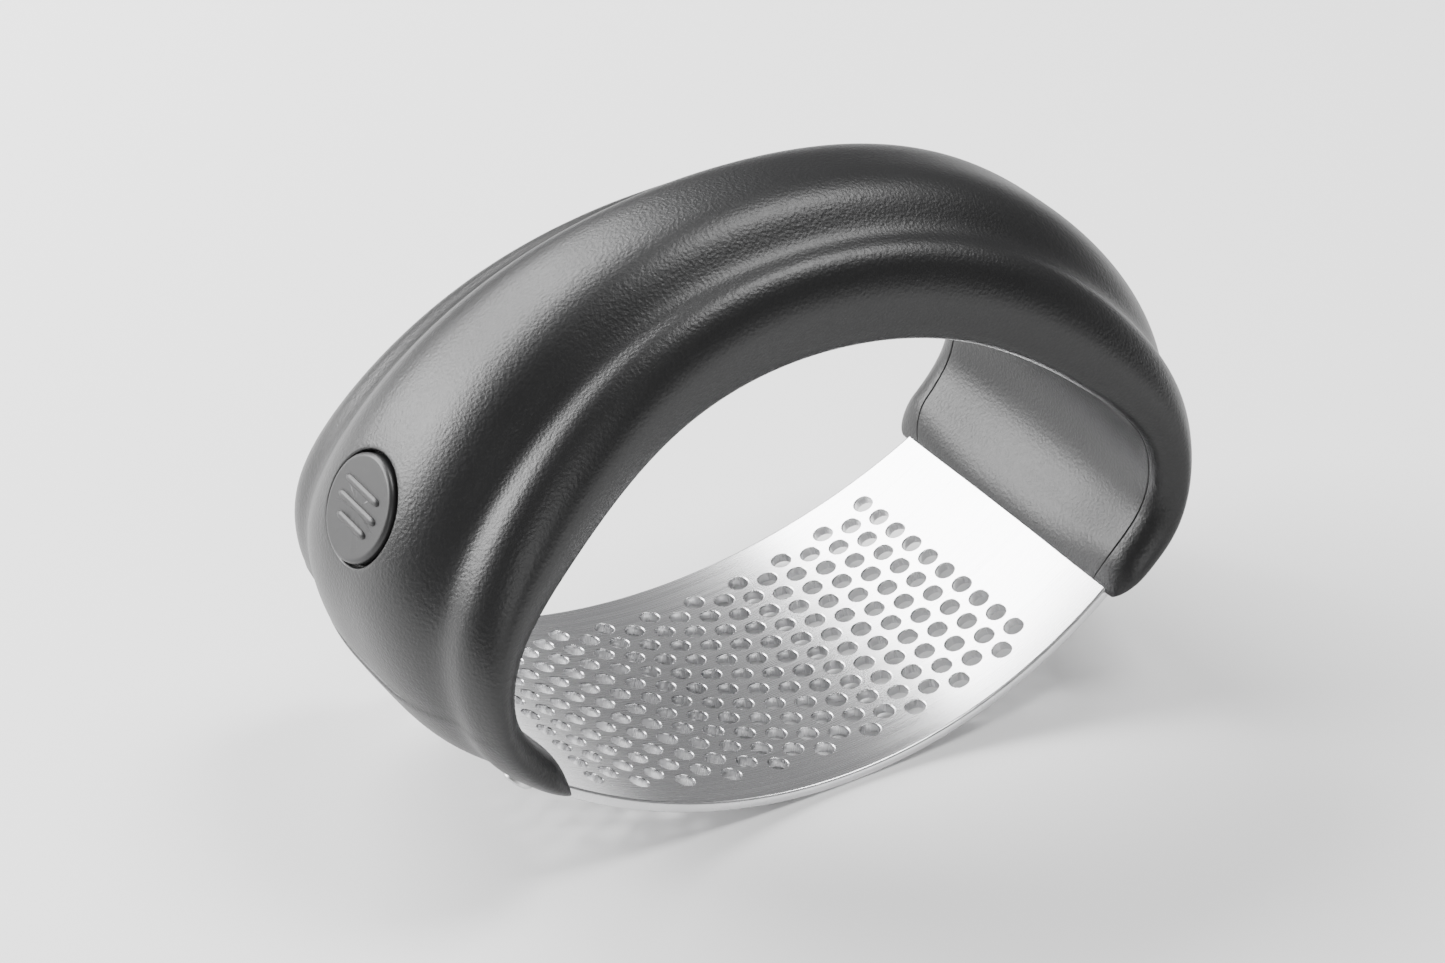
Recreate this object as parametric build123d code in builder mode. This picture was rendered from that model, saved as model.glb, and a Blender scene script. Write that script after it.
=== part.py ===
"""Rocker garlic press: a curved perforated steel plate under an arched two-shell handle.

The origin is under the middle of the plate, at the lowest point that the press rocks on.
+X runs along the press, from the foot with the release button to the other foot.
+Y runs across the plate, and +Z is up.
"""

import os
from math import asin, cos, degrees, radians, sin, sqrt

from build123d import *

os.makedirs("parts", exist_ok=True)

# Overall size
LENGTH = 120.0
WIDTH = 55.0
HEIGHT = 78.0

# Rocker plate
PLATE_RADIUS = 77.0  # underside, the surface that rolls
PLATE_THICKNESS = 1.5
PLATE_HALF_SPAN = 42.0  # visible length, to each foot
PLATE_MIDDLE_WIDTH = 52.0
PLATE_END_WIDTH = 47.0
SHOULDER_SPAN = 44.0  # where the plate narrows to its tabs, inside the feet
TAB_WIDTH = 30.0
TAB_END = 54.0
TAB_WINDOW_WIDTH = 7.0
TAB_WINDOW = (51.3, 53.1)
SLOT_END_GAP = 0.8  # play of the plate in the slots of the handle
SLOT_SIDE_GAP = 0.5
TAB_GAP = 0.2
HOLE_DIAMETER = 2.75
HOLE_ROWS = 10
HOLE_COLUMNS = 20
HOLE_STAGGER = 0.25  # of the pitch between rows
ROW_PITCH = 4.1
COLUMN_PITCH = 3.75
FIELD_SHIFT = -2.2

# Handle
ARCH_HALF_DEPTH = 17.0
ARCH_THICKNESS = 18.7
TIP_ABOVE_PLATE = 3.0
TIP_BELOW_PLATE = 2.8
WALL = 1.9
RIM = 3.2
LINER = 1.6
FIT_GAP = 0.05
CUT_OVERLAP = 4.0  # how far cutting solids reach past the surface they open
STATIONS = 17
TIP_START = 0.9  # where the feet start to round off, as a fraction of half the arch
TIP_END = 1.005
HOLLOW_END = 0.9
RIBS = (-0.42, -0.28, -0.14, 0.0, 0.14, 0.28, 0.42, 0.49, 0.56, 0.63, 0.7, 0.77, 0.84)
HALF_RIB = 0.008  # ribs and their places are fractions of half the arch, as in station()
BAY_STEP = 0.1

# Release button. Depths are measured inwards from its face, along its axis.
BUTTON_HEIGHT = 48.0
BUTTON_DIAMETER = 14.0
BUTTON_GAP = 0.35
BUTTON_PROUD = 0.05
BUTTON_CAP = 2.6
BUTTON_CHAMFER = 0.5
FLANGE_DIAMETER = 16.0
FLANGE_THICKNESS = 1.0
STEM_DIAMETER = 4.4
STEM_END = 10.0
WEDGE_START = 6.2
GRIP_RIB_WIDTH = 0.9
GRIP_RIB_HEIGHT = 0.45
GRIP_RIB_PITCH = 2.3
GRIP_RIB_LENGTHS = (7.4, 8.6, 6.4)

# Guide cup behind the shell's wall
GUIDE_START = 4.4
GUIDE_FLOOR = 6.2
GUIDE_FLOOR_THICKNESS = 0.8
GUIDE_INNER = 16.5
GUIDE_OUTER = 18.9
GUIDE_EAR = 4.6
GUIDE_SCREW_REACH = 11.85
GUIDE_BOSS_HEIGHT = 2.4
GUIDE_SCREW_DIAMETER = 1.8
GUIDE_SCREW_LENGTH = 3.0
GUIDE_SCREW_HEAD = 3.4
GUIDE_SCREW_HEAD_HEIGHT = 1.0
SEAT_REACH = 10.4
SEAT_WIDTH = 5.0
SEAT_THICKNESS = 0.9
SEAT_DEPTH = 9.8
SPRING_SLOT = 3.2

# Latch bolt: a flat plate behind the guide, and an arm down to the tab of the rocker plate
BOLT_START = 7.25
BOLT_THICKNESS = 1.2
BOLT_WIDTH = 9.0
BOLT_TOP = 5.0
BOLT_BOTTOM = -8.4
BOLT_WINDOW_WIDTH = 4.8
BOLT_WINDOW_BOTTOM = -4.1
BOLT_WINDOW_PAST = 0.3
BOLT_CORNER = 1.0
ARM_WIDTH = 6.0
ARM_LAP = 1.0  # of the arm on the bolt's plate, and how far it leans there
ARM_LEAN = 0.5
ARM_ROUTE = [(54.0, 31.0), (53.1, 26.5), (52.25, 22.1)]

SPRING_WIRE = 0.5
BUTTON_SPRING_RADIUS = 3.6
BUTTON_SPRING_TURNS = 2.5
LATCH_SPRING_WIRE = 0.35
LATCH_SPRING_RADIUS = 1.2
LATCH_SPRING_TURNS = 5
SPRING_END_GAP = 0.15

# Slit that drains the foot
SLIT_HEIGHT = 24.0
SLIT_LENGTH = 19.0
SLIT_WIDTH = 1.0
SLIT_PROUD = 1.0
SLIT_DEPTH = 4.0

# Foot screws
FOOT_SCREW_DIAMETER = 2.2
FOOT_SCREW_HEAD = 4.2
FOOT_SCREW_HEAD_HEIGHT = 1.2
FOOT_SCREW_X = 46.5
FOOT_SCREW_Y = 20.0
FOOT_SCREW_LENGTH = 3.4
FOOT_SCREW_SINK = 6.0  # outside the plate's arc, where the screws' bores start
FOOT_SCREW_HEAD_GAP = 0.3
FOOT_SCREW_GAP = 0.1
FOOT_SCREW_BITE = 0.04
SCREW_CHAMFER = 0.3
CROSS_WIDTH = 0.5
CROSS_SIZE = 0.6  # of the head, across it and into it

PLATE_CENTRE = Vector(0, 0, PLATE_RADIUS)
PLATE_TOP_RADIUS = PLATE_RADIUS - PLATE_THICKNESS


def arc_angle(x, radius=PLATE_RADIUS):
    """Degrees from the bottom of the plate's arc to the point at x."""
    return degrees(asin(x / radius))


def arc_point(x, radius):
    """Point at x on an arc about the plate's centre, in the plane y = 0."""
    return Vector(x, 0, PLATE_RADIUS - sqrt(radius**2 - x**2))


def smooth(value):
    """0 to 1 with level ends."""
    value = min(max(value, 0.0), 1.0)
    return value * value * (3 - 2 * value)


# Side view of the right half of the handle: its outer and inner outlines, from the top to the foot.
tip_outer = arc_point(PLATE_HALF_SPAN + 1.2, PLATE_RADIUS + TIP_BELOW_PLATE)
tip_inner = arc_point(PLATE_HALF_SPAN - 0.6, PLATE_TOP_RADIUS - TIP_ABOVE_PLATE)
tip_lean = radians(arc_angle(PLATE_HALF_SPAN))
arc_direction = Vector(-cos(tip_lean), -sin(tip_lean))

with BuildLine() as outer_line:
    Spline(
        (0, HEIGHT),
        (29, 72.6),
        (51.5, 56.5),
        (LENGTH / 2 - FIT_GAP, 39.5),
        (58.4, 27.5),
        (53.6, 18.0),
        (tip_outer.X, tip_outer.Z),
        tangents=[(1, 0), (arc_direction.X, arc_direction.Y)],
    )
with BuildLine() as inner_line:
    Spline(
        (0, HEIGHT - ARCH_THICKNESS),
        (21, 56.1),
        (39.6, 44.8),
        (48.8, 33.0),
        (48.6, 26.0),
        (45.6, 21.3),
        (tip_inner.X, tip_inner.Z),
        tangents=[(1, 0), (arc_direction.X, arc_direction.Y)],
    )


def station(t):
    """Plane across the handle and its thickness there. t runs from -1 to 1, foot to foot.

    In the plane, x is depth and y runs from the inner face out to the crown.
    """
    side = -1 if t < 0 else 1
    low = inner_line.line @ abs(t)
    high = outer_line.line @ abs(t)
    start = Vector(side * low.X, 0, low.Y)
    across = Vector(side * high.X, 0, high.Y) - start
    plane = Plane(origin=start, x_dir=(0, 1, 0), z_dir=Vector(0, 1, 0).cross(across))
    return plane, across.length


def half_depth(t):
    return ARCH_HALF_DEPTH + (WIDTH / 2 - ARCH_HALF_DEPTH) * smooth(abs(t) / TIP_START)


def hollow_of_face(t):
    """How far the inner face dips at the middle of its width."""
    return 0.3 + 0.9 * smooth((abs(t) - 0.35) / 0.3)


def envelope_outline(t):
    """Closed outline of the handle's section: crown, shallow valleys, rolled edges, dished inner face."""
    _, thickness = station(t)
    depth = half_depth(t)
    foot = smooth((abs(t) - 0.1) / 0.6)
    half = [
        (0.25, 0.985),
        (0.42, 0.93 - 0.01 * foot),
        (0.56, 0.82 - 0.02 * foot),
        (0.69, 0.73 - 0.06 * foot),
        (0.81, 0.70 - 0.055 * foot),
        (0.93, 0.60 - 0.055 * foot),
        (1.0, 0.39 - 0.03 * foot),
        (0.975, 0.19),
        (0.90, 0.02),
        (0.74, 0.0),
        (0.40, 0.8 * hollow_of_face(t) / thickness),
    ]
    right = [(u * depth, v * thickness) for u, v in half]
    left = [(-u, v) for u, v in reversed(right)]
    points = [(0, thickness)] + right + [(0, hollow_of_face(t))] + left
    return round_tip(t, points, thickness)


def round_tip(t, points, thickness):
    """Draws the section in towards its middle where the foot ends."""
    if abs(t) <= TIP_START:
        return points
    along = (abs(t) - TIP_START) / (TIP_END - TIP_START)
    shrink = sqrt(1 - along**2)
    narrow = 1 - 0.10 * (1 - shrink)
    return [(u * narrow, thickness / 2 + (v - thickness / 2) * shrink) for u, v in points]


def station_range(first, last, count):
    return [first + (last - first) * i / (count - 1) for i in range(count)]


def loft_through(outline, ts, smooth_outline):
    """Solid through the outlines at stations ts: two smooth halves that meet level, or straight runs."""
    with BuildPart() as body:
        for t in ts:
            points = outline(t)
            middle = len(points) // 2
            with BuildSketch(station(t)[0]):
                with BuildLine():
                    if smooth_outline:
                        Spline(*points[: middle + 1], tangents=[(1, 0), (-1, 0)])
                        Spline(*points[middle:], points[0], tangents=[(-1, 0), (1, 0)])
                    else:
                        Polyline(*points, close=True)
                make_face()
        loft()
    return body.part


def cavity_outline(t):
    """Section of the space inside the outer shell, with flat sides."""
    _, thickness = station(t)
    depth = half_depth(t)
    foot = smooth((abs(t) - 0.1) / 0.6)
    inside = depth - RIM
    shoulder = (0.70 - 0.055 * foot) * thickness - WALL
    crown = 0.97 * thickness - WALL
    side = min(0.5 * thickness, shoulder - FIT_GAP)
    return [
        (-inside, LINER),
        (inside, LINER),
        (inside, side),
        (0.78 * depth, shoulder),
        (0.62 * depth, 0.70 * thickness - WALL),
        (0.42 * depth, 0.90 * thickness - WALL),
        (0.25 * depth, crown),
        (-0.25 * depth, crown),
        (-0.42 * depth, 0.90 * thickness - WALL),
        (-0.62 * depth, 0.70 * thickness - WALL),
        (-0.78 * depth, shoulder),
        (-inside, side),
    ]


def liner_slab(t, gap):
    """Section of the strip that closes the inner side."""
    inside = half_depth(t) - RIM - gap
    return inside, LINER + hollow_of_face(t) - gap / 2


def slab_loft(gap):
    with BuildPart() as body:
        for t in ts:
            plane, _ = station(t)
            inside, top = liner_slab(t, gap)
            with BuildSketch(plane):
                with Locations((0, (top - CUT_OVERLAP) / 2)):
                    Rectangle(2 * inside, top + CUT_OVERLAP)
        loft()
    return body.part


def plate_sector(half_span, width, inner, outer):
    """Piece of the plate's arc, drawn from the side and given a width."""
    angle = arc_angle(half_span)
    with BuildPart() as body:
        with BuildSketch(Plane.XZ):
            with BuildLine():
                low = CenterArc((0, PLATE_RADIUS), outer, -90 - angle, 2 * angle)
                high = CenterArc((0, PLATE_RADIUS), inner, -90 - angle, 2 * angle)
                Line(low @ 0, high @ 0)
                Line(low @ 1, high @ 1)
            make_face()
        extrude(amount=width / 2, both=True)
    return body.part


def plate_slot():
    """Space that the plate and its tabs take in the handle."""
    outer = PLATE_RADIUS + FIT_GAP
    inner = PLATE_TOP_RADIUS - FIT_GAP
    with BuildPart() as body:
        add(plate_sector(SHOULDER_SPAN + SLOT_END_GAP, PLATE_END_WIDTH + 2 * SLOT_SIDE_GAP, inner, outer))
        add(plate_sector(TAB_END + 2 * TAB_GAP, TAB_WIDTH + 2 * TAB_GAP, inner, outer))
    return body.part


def bay_stations(first, last):
    """Stations of one bay of the hollow, at even steps from one rib to the next."""
    steps = max(2, round((last - first) / BAY_STEP))
    return station_range(first, last, steps + 1)


# The envelope of the whole handle, and the bays of the space inside it, with a rib between neighbours
ts = station_range(-1, 1, STATIONS)
envelope = loft_through(envelope_outline, ts, True)
bay_starts = [-HOLLOW_END] + [t + HALF_RIB for t in RIBS]
bay_ends = [t - HALF_RIB for t in RIBS] + [HOLLOW_END]
bays = [
    loft_through(cavity_outline, bay_stations(first, last), False)
    for first, last in zip(bay_starts, bay_ends)
]


def crown_at(height):
    """Point of the left foot's outer face at a height, on the middle line, and the direction it faces."""
    low, high = 0.3, 0.95
    for _ in range(30):
        middle = (low + high) / 2
        if (outer_line.line @ middle).Y > height:
            low = middle
        else:
            high = middle
    point = outer_line.line @ middle
    along = outer_line.line % middle
    return Vector(-point.X, 0, point.Y), Vector(along.Y, 0, along.X)


def facing_plane(height, proud):
    """Plane on the left foot's outer face, with x towards the front and y up the handle."""
    point, normal = crown_at(height)
    return Plane(origin=point + normal * proud, x_dir=(0, -1, 0), z_dir=normal)


button_plane = facing_plane(BUTTON_HEIGHT, BUTTON_PROUD)
slit_plane = facing_plane(SLIT_HEIGHT, SLIT_PROUD)


def button_depth(depth):
    """The button's plane, moved into the handle."""
    return button_plane.offset(-depth)


def disc(plane, diameter, height):
    """Round solid that reaches back from a plane by its height."""
    with BuildPart() as body:
        with BuildSketch(plane):
            Circle(diameter / 2)
        extrude(amount=-height)
    return body.part


def foot_screw_plane(side, row, radius):
    """Plane across a foot screw's axis, at a radius of the plate's arc, facing down and outwards."""
    angle = side * radians(arc_angle(FOOT_SCREW_X))
    outwards = Vector(sin(angle), 0, -cos(angle))
    return Plane(origin=PLATE_CENTRE + outwards * radius + Vector(0, row * FOOT_SCREW_Y, 0), z_dir=outwards)


foot_screw_places = [(side, row) for side in (-1, 1) for row in (-1, 1)]


# Outer shell: crown, rolled edges and the undersides of both feet
with BuildPart() as handle_outer_shell:
    add(envelope)
    add(bays, mode=Mode.SUBTRACT)
    add(slab_loft(0), mode=Mode.SUBTRACT)
    add(plate_slot(), mode=Mode.SUBTRACT)
    for reach in (-GUIDE_SCREW_REACH, GUIDE_SCREW_REACH):
        with BuildSketch(button_depth(GUIDE_FLOOR)):
            with Locations((reach, 0)):
                Circle(GUIDE_EAR / 2)
        extrude(amount=GUIDE_BOSS_HEIGHT)
        with BuildSketch(button_depth(GUIDE_FLOOR)):
            with Locations((reach, 0)):
                Circle(GUIDE_SCREW_DIAMETER / 2 + FIT_GAP)
        extrude(amount=GUIDE_SCREW_LENGTH, mode=Mode.SUBTRACT)
    button_bore = BUTTON_DIAMETER + 2 * BUTTON_GAP
    add(disc(button_depth(-CUT_OVERLAP), button_bore, CUT_OVERLAP + GUIDE_FLOOR), mode=Mode.SUBTRACT)
    flange_bore = FLANGE_DIAMETER + 2 * BUTTON_GAP
    flange_start = BUTTON_CAP - FIT_GAP
    add(disc(button_depth(flange_start), flange_bore, CUT_OVERLAP), mode=Mode.SUBTRACT)
    for side, row in foot_screw_places:
        bore_plane = foot_screw_plane(side, row, PLATE_RADIUS + FOOT_SCREW_SINK)
        head_bore = FOOT_SCREW_HEAD + FOOT_SCREW_HEAD_GAP
        shank_bore = FOOT_SCREW_DIAMETER + FOOT_SCREW_GAP
        add(disc(bore_plane, head_bore, FOOT_SCREW_SINK), mode=Mode.SUBTRACT)
        add(disc(bore_plane, shank_bore, 2 * FOOT_SCREW_SINK), mode=Mode.SUBTRACT)

    # slit that drains the foot after washing
    with BuildSketch(slit_plane):
        with BuildLine():
            ThreePointArc((-SLIT_LENGTH / 2, 0), (0, SLIT_WIDTH / 2), (SLIT_LENGTH / 2, 0))
            ThreePointArc((-SLIT_LENGTH / 2, 0), (0, -SLIT_WIDTH / 2), (SLIT_LENGTH / 2, 0))
        make_face()
    extrude(amount=-SLIT_DEPTH, mode=Mode.SUBTRACT)
handle_outer_shell.part.label = "handle_outer_shell"
export_step(handle_outer_shell.part, "parts/handle_outer_shell.step")

# Inner shell: the strip that closes the handle's inner side, dished in the feet
with BuildPart() as handle_inner_shell:
    add(envelope)
    add(slab_loft(FIT_GAP), mode=Mode.INTERSECT)
    add(plate_slot(), mode=Mode.SUBTRACT)
    for side, row in foot_screw_places:
        bore_plane = foot_screw_plane(side, row, PLATE_RADIUS)
        bore = FOOT_SCREW_DIAMETER + FOOT_SCREW_BITE
        add(disc(bore_plane, bore, FOOT_SCREW_LENGTH + FOOT_SCREW_GAP), mode=Mode.SUBTRACT)
handle_inner_shell.part.label = "handle_inner_shell"
export_step(handle_inner_shell.part, "parts/handle_inner_shell.step")


def hole_rows(column):
    """Depths of the holes of one column; every other column is moved by half a pitch."""
    stagger = HOLE_STAGGER if column % 2 else -HOLE_STAGGER
    return [(row - (HOLE_ROWS - 1) / 2 + stagger) * ROW_PITCH for row in range(HOLE_ROWS)]


# Rocker plate: an arc with bowed long edges, staggered holes, and a narrower tab in each foot
with BuildPart() as rocker_plate:
    add(plate_sector(TAB_END, PLATE_MIDDLE_WIDTH, PLATE_TOP_RADIUS, PLATE_RADIUS))
    with BuildSketch():
        with BuildLine():
            reach = SHOULDER_SPAN
            end = PLATE_END_WIDTH / 2
            ThreePointArc((-reach, end), (0, PLATE_MIDDLE_WIDTH / 2), (reach, end))
            ThreePointArc((-reach, -end), (0, -PLATE_MIDDLE_WIDTH / 2), (reach, -end))
            Line((-reach, end), (-reach, -end))
            Line((reach, end), (reach, -end))
        make_face()
        Rectangle(2 * TAB_END, TAB_WIDTH)
    extrude(amount=HEIGHT / 2, mode=Mode.INTERSECT)
    for column in range(HOLE_COLUMNS):
        along = (column - (HOLE_COLUMNS - 1) / 2) * COLUMN_PITCH + FIELD_SHIFT
        angle = along / PLATE_RADIUS
        down = Vector(sin(angle), 0, -cos(angle))
        with BuildSketch(Plane(origin=PLATE_CENTRE, x_dir=(0, 1, 0), z_dir=down)):
            with Locations(*[(depth, 0) for depth in hole_rows(column)]):
                Circle(HOLE_DIAMETER / 2)
        extrude(amount=PLATE_RADIUS + CUT_OVERLAP, mode=Mode.SUBTRACT)
    with BuildSketch():
        with Locations((-(TAB_WINDOW[0] + TAB_WINDOW[1]) / 2, 0)):
            Rectangle(TAB_WINDOW[1] - TAB_WINDOW[0], TAB_WINDOW_WIDTH)
    extrude(amount=HEIGHT / 2, mode=Mode.SUBTRACT)
rocker_plate.part.label = "rocker_plate"
export_step(rocker_plate.part, "parts/rocker_plate.step")

# Side view at the button: x up the handle, y outwards along the button's axis
side_plane = Plane(origin=button_plane.origin, x_dir=button_plane.y_dir, z_dir=button_plane.x_dir)

# Release button: a chamfered disc with three grip ribs, a retaining flange and a stem
with BuildPart() as release_button:
    with BuildSketch(button_plane):
        Circle(BUTTON_DIAMETER / 2)
    extrude(amount=-BUTTON_CAP)
    chamfer(release_button.edges().filter_by(GeomType.CIRCLE).sort_by(Axis.X)[0], BUTTON_CHAMFER)
    with BuildSketch(button_depth(BUTTON_CAP)):
        Circle(FLANGE_DIAMETER / 2)
    extrude(amount=-FLANGE_THICKNESS)
    with BuildSketch(button_depth(STEM_END)):
        Circle(STEM_DIAMETER / 2)
    extrude(amount=STEM_END - BUTTON_CAP)
    # ramp at 45 degrees on top of the stem's end
    with BuildSketch(side_plane):
        with BuildLine():
            reach = STEM_DIAMETER / 2
            fall = STEM_END + CUT_OVERLAP - WEDGE_START
            Polyline(
                (reach, -WEDGE_START),
                (reach, -WEDGE_START - fall),
                (reach - fall, -WEDGE_START - fall),
                close=True,
            )
        make_face()
    extrude(amount=STEM_DIAMETER, both=True, mode=Mode.SUBTRACT)
    for row, length in enumerate(GRIP_RIB_LENGTHS):
        with BuildSketch(button_plane):
            with Locations((0, (1 - row) * GRIP_RIB_PITCH)):
                SlotOverall(length, GRIP_RIB_WIDTH)
        extrude(amount=GRIP_RIB_HEIGHT)
release_button.part.label = "release_button"
export_step(release_button.part, "parts/release_button.step")

# Guide cup: carries the button's flange and its spring, and the seat of the latch spring
with BuildPart() as button_guide:
    with BuildSketch(button_depth(GUIDE_START)):
        Circle(GUIDE_OUTER / 2)
        Circle(GUIDE_INNER / 2, mode=Mode.SUBTRACT)
    extrude(amount=-(GUIDE_FLOOR - GUIDE_START))
    with BuildSketch(button_depth(GUIDE_FLOOR)):
        Circle(GUIDE_OUTER / 2)
        SlotOverall(2 * GUIDE_SCREW_REACH + GUIDE_EAR, GUIDE_EAR)
        with Locations((0, SEAT_REACH / 2)):
            Rectangle(SEAT_WIDTH, SEAT_REACH)
        with Locations((0, (BOLT_TOP + SEAT_REACH - SEAT_THICKNESS) / 2)):
            Rectangle(SPRING_SLOT, SEAT_REACH - SEAT_THICKNESS - BOLT_TOP, mode=Mode.SUBTRACT)
        Circle(STEM_DIAMETER / 2 + FIT_GAP, mode=Mode.SUBTRACT)
        with Locations((-GUIDE_SCREW_REACH, 0), (GUIDE_SCREW_REACH, 0)):
            Circle(GUIDE_SCREW_DIAMETER / 2 + FIT_GAP, mode=Mode.SUBTRACT)
    extrude(amount=-GUIDE_FLOOR_THICKNESS)
    with BuildSketch(button_depth(GUIDE_FLOOR)):
        with Locations((0, SEAT_REACH - SEAT_THICKNESS / 2)):
            Rectangle(SEAT_WIDTH, SEAT_THICKNESS)
    extrude(amount=-(SEAT_DEPTH - GUIDE_FLOOR))
button_guide.part.label = "button_guide"
export_step(button_guide.part, "parts/button_guide.step")


def coil_spring(base, radius, wire, height, turns):
    """Compression spring standing on a plane."""
    with BuildPart() as body:
        with BuildLine() as coil:
            Helix(
                pitch=(height - wire) / turns,
                height=height - wire,
                radius=radius,
                center=base.origin + base.z_dir * (wire / 2),
                direction=base.z_dir,
            )
        with BuildSketch(Plane(origin=coil.line @ 0, z_dir=coil.line % 0)):
            Circle(wire / 2)
        sweep(is_frenet=True)
    return body.part


# Return spring between the button's flange and the floor of the guide
button_spring_height = GUIDE_FLOOR - BUTTON_CAP - FLANGE_THICKNESS - 2 * SPRING_END_GAP
button_spring = coil_spring(
    button_depth(GUIDE_FLOOR - SPRING_END_GAP),
    BUTTON_SPRING_RADIUS,
    SPRING_WIRE,
    button_spring_height,
    BUTTON_SPRING_TURNS,
)
button_spring.label = "button_spring"
export_step(button_spring, "parts/button_spring.step")

# Latch bolt: the stem's ramp lifts the top edge of its window
pad_low = (BOLT_BOTTOM, -BOLT_START - BOLT_THICKNESS / 2)
pad_low_point = side_plane.from_local_coords(Vector(*pad_low))
with BuildPart() as latch_bolt:
    with BuildSketch(button_depth(BOLT_START)):
        with Locations((0, (BOLT_TOP + BOLT_BOTTOM) / 2)):
            RectangleRounded(BOLT_WIDTH, BOLT_TOP - BOLT_BOTTOM, BOLT_CORNER)
    extrude(amount=-BOLT_THICKNESS)
    with BuildSketch(side_plane):
        with BuildLine():
            before = BOLT_WINDOW_PAST - BOLT_START
            behind = -BOLT_START - BOLT_THICKNESS - BOLT_WINDOW_PAST
            front = STEM_DIAMETER / 2 + 2 * FIT_GAP + before + WEDGE_START
            Polyline(
                (BOLT_WINDOW_BOTTOM, before),
                (front, before),
                (front - (before - behind), behind),
                (BOLT_WINDOW_BOTTOM, behind),
                close=True,
            )
        make_face()
    extrude(amount=BOLT_WINDOW_WIDTH / 2, both=True, mode=Mode.SUBTRACT)
    with BuildSketch(Plane.XZ):
        with BuildLine():
            Polyline(
                (pad_low_point.X + ARM_LEAN, pad_low_point.Z + ARM_LAP),
                (pad_low_point.X, pad_low_point.Z - ARM_LAP),
                *[(-x, z) for x, z in ARM_ROUTE],
            )
            offset(amount=BOLT_THICKNESS / 2)
        make_face()
    extrude(amount=ARM_WIDTH / 2, both=True)
latch_bolt.part.label = "latch_bolt"
export_step(latch_bolt.part, "parts/latch_bolt.step")

# Latch spring between the bolt's top edge and the seat on the guide
latch_spring_foot = Vector(BOLT_TOP + SPRING_END_GAP, -BOLT_START - BOLT_THICKNESS / 2)
latch_spring_plane = Plane(
    origin=side_plane.from_local_coords(latch_spring_foot),
    x_dir=button_plane.x_dir,
    z_dir=button_plane.y_dir,
)
latch_spring = coil_spring(
    latch_spring_plane,
    LATCH_SPRING_RADIUS,
    LATCH_SPRING_WIRE,
    SEAT_REACH - SEAT_THICKNESS - BOLT_TOP - 2 * SPRING_END_GAP,
    LATCH_SPRING_TURNS,
)
latch_spring.label = "latch_spring"
export_step(latch_spring, "parts/latch_spring.step")


def screw(plane, shank, length, head, head_height):
    """Screw with its head's underside on the plane; the shank points against the plane's normal."""
    with BuildPart() as body:
        with BuildSketch(plane):
            Circle(head / 2)
        extrude(amount=head_height)
        chamfer(body.faces().sort_by(Axis(plane.origin, plane.z_dir))[-1].edges(), SCREW_CHAMFER)
        with BuildSketch(plane):
            Circle(shank / 2)
        extrude(amount=-length)
        with BuildSketch(plane.offset(head_height)):
            Rectangle(head * CROSS_SIZE, CROSS_WIDTH)
            Rectangle(CROSS_WIDTH, head * CROSS_SIZE)
        extrude(amount=-head_height * CROSS_SIZE, mode=Mode.SUBTRACT)
    return body.part


# Guide screws, driven from inside the handle into the shell's bosses
guide_screw_base = button_depth(GUIDE_FLOOR + GUIDE_FLOOR_THICKNESS)
guide_screws = Compound(
    label="guide_screws",
    children=[
        screw(
            Plane(
                origin=guide_screw_base.from_local_coords(Vector(reach, 0)),
                x_dir=guide_screw_base.x_dir,
                z_dir=-guide_screw_base.z_dir,
            ),
            GUIDE_SCREW_DIAMETER,
            GUIDE_SCREW_LENGTH,
            GUIDE_SCREW_HEAD,
            GUIDE_SCREW_HEAD_HEIGHT,
        )
        for reach in (-GUIDE_SCREW_REACH, GUIDE_SCREW_REACH)
    ],
)
export_step(guide_screws, "parts/guide_screws.step")

# Foot screws, driven from underneath into the inner shell
foot_screws = Compound(
    label="foot_screws",
    children=[
        screw(
            foot_screw_plane(side, row, PLATE_RADIUS),
            FOOT_SCREW_DIAMETER,
            FOOT_SCREW_LENGTH,
            FOOT_SCREW_HEAD,
            FOOT_SCREW_HEAD_HEIGHT,
        )
        for side, row in foot_screw_places
    ],
)
export_step(foot_screws, "parts/foot_screws.step")
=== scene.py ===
"""Looks of the rocker garlic press: fine meshes of the handle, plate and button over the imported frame."""

import math

import bmesh
import bpy
import numpy as np
from mathutils import Matrix, Vector


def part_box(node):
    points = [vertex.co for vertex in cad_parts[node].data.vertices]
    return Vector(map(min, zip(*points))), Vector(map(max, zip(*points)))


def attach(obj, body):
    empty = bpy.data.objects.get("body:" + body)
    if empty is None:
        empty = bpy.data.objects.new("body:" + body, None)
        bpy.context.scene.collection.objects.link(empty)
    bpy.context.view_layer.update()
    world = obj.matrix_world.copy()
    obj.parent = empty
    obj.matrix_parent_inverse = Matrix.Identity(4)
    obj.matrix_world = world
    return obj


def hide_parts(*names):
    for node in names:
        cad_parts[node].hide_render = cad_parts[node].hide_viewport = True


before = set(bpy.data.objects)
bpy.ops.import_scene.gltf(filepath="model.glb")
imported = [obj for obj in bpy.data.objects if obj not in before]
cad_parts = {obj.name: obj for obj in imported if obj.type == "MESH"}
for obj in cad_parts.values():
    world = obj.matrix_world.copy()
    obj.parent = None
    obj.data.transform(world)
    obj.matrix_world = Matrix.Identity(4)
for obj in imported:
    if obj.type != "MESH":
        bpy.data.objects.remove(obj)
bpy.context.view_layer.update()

MM = 0.001
scene = bpy.context.scene

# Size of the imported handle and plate
shell_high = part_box("handle_outer_shell")[1]
plate_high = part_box("rocker_plate")[1]
HALF_LENGTH = shell_high.x
HEIGHT = shell_high.z
HALF_WIDTH = shell_high.y

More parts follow.
